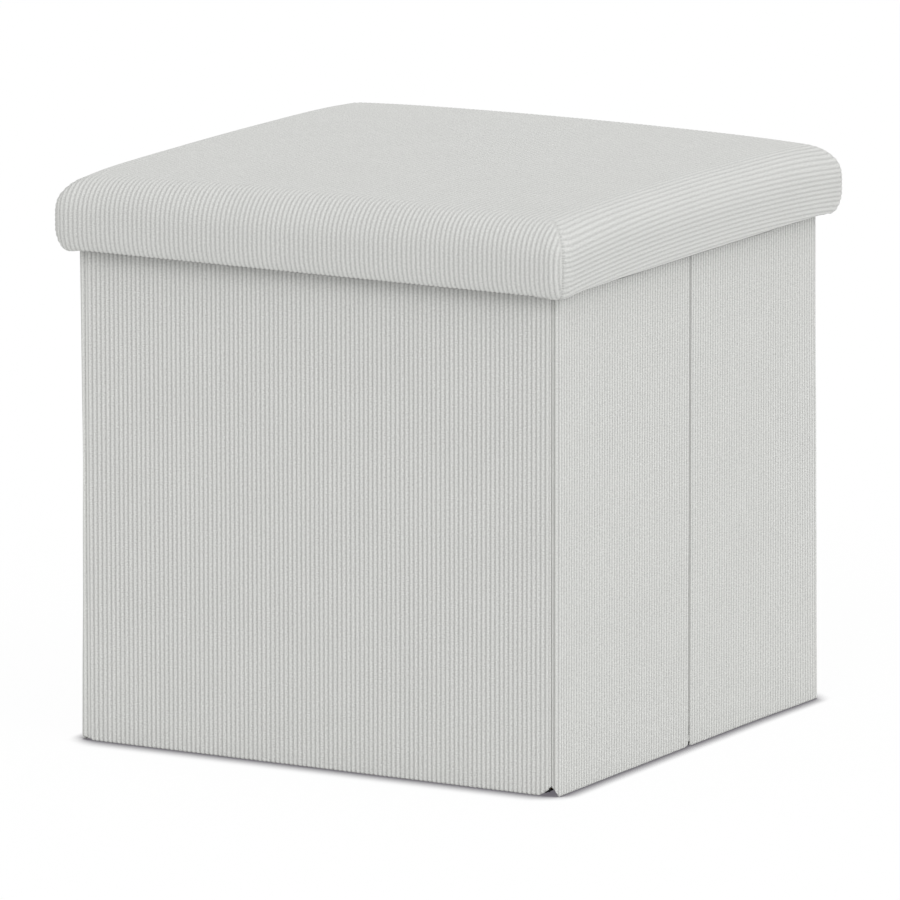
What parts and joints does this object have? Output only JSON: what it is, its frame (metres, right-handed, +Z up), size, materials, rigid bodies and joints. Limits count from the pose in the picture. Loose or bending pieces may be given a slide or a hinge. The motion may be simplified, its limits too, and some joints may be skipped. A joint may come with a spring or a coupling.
{
  "type": "folding storage ottoman",
  "caption": "Square folding storage ottoman: padded corduroy lift-off lid over a ring of padded wall panels that folds inward on sewn seams, with a loose base board.",
  "frame": {"origin": "middle of the footprint, on the floor", "axes": "+Z up, front wall towards -Y, side walls that fold at -X and +X"},
  "size_m": [0.38, 0.38, 0.3801],
  "materials": {
    "wall_cover": "matte",
    "lid_cover": "matte",
    "fold_seam": "matte",
    "lining": "matte",
    "wall_board": "matte",
    "base_board": "matte",
    "lid_frame": "matte",
    "lid_foam": "matte",
    "staples": "satin"
  },
  "bodies": {
    "base": {"base_board": "base_board", "base_cloth_top": "lining", "base_cloth_underside": "lining"},
    "rear_wall": {"rear_wall_cover": "wall_cover", "rear_wall_board": "wall_board", "rear_wall_lining": "lining", "rear_right_seam": "lining", "rear_left_seam": "lining"},
    "right_rear_wall": {"right_rear_wall_cover": "wall_cover", "right_rear_wall_board": "wall_board", "right_rear_wall_lining": "lining", "right_mid_seam": "fold_seam"},
    "right_front_wall": {"right_front_wall_cover": "wall_cover", "right_front_wall_board": "wall_board", "right_front_wall_lining": "lining"},
    "front_wall": {"front_wall_cover": "wall_cover", "front_wall_board": "wall_board", "front_wall_lining": "lining", "front_right_seam": "lining", "front_left_seam": "lining"},
    "left_rear_wall": {"left_rear_wall_cover": "wall_cover", "left_rear_wall_board": "wall_board", "left_rear_wall_lining": "lining", "left_mid_seam": "fold_seam"},
    "left_front_wall": {"left_front_wall_cover": "wall_cover", "left_front_wall_board": "wall_board", "left_front_wall_lining": "lining"},
    "lid": {"lid_cover": "lid_cover", "lid_foam": "lid_foam", "lid_board": "lid_frame", "lid_front_rail": "lid_frame", "lid_rear_rail": "lid_frame", "lid_left_rail": "lid_frame", "lid_right_rail": "lid_frame", "lid_lining": "lining", "lid_staples": "staples"}
  },
  "joints": [
    {"name": "walls_lift", "type": "slide", "parent": "base", "child": "rear_wall", "axis": [0, 0, 1], "range_m": [0, 0.13]},
    {"name": "right_rear_fold", "type": "hinge", "parent": "rear_wall", "child": "right_rear_wall", "pos_m": [0.171, 0.169, 0], "axis": [0, 0, 1], "range_deg": [-88, 0]},
    {"name": "right_mid_fold", "type": "hinge", "parent": "right_rear_wall", "child": "right_front_wall", "pos_m": [0.178, 0, 0], "axis": [0, 0, 1], "range_deg": [0, 176]},
    {"name": "front_right_fold", "type": "hinge", "parent": "right_front_wall", "child": "front_wall", "pos_m": [0.171, -0.169, 0], "axis": [0, 0, 1], "range_deg": [-88, 0]},
    {"name": "left_rear_fold", "type": "hinge", "parent": "rear_wall", "child": "left_rear_wall", "pos_m": [-0.171, 0.169, 0], "axis": [0, 0, 1], "range_deg": [0, 88]},
    {"name": "left_mid_fold", "type": "hinge", "parent": "left_rear_wall", "child": "left_front_wall", "pos_m": [-0.178, 0, 0], "axis": [0, 0, 1], "range_deg": [-176, 0]},
    {"name": "lid_lift", "type": "slide", "parent": "rear_wall", "child": "lid", "axis": [0, 0, 1], "range_m": [0, 0.25]}
  ],
  "couplings": [
    {"joint": "walls_lift", "follows": "right_rear_fold", "m_per_rad": -0.0846},
    {"joint": "right_mid_fold", "follows": "right_rear_fold", "ratio": -2},
    {"joint": "front_right_fold", "follows": "right_rear_fold", "ratio": 1},
    {"joint": "left_rear_fold", "follows": "right_rear_fold", "ratio": -1},
    {"joint": "left_mid_fold", "follows": "right_rear_fold", "ratio": 2}
  ]
}
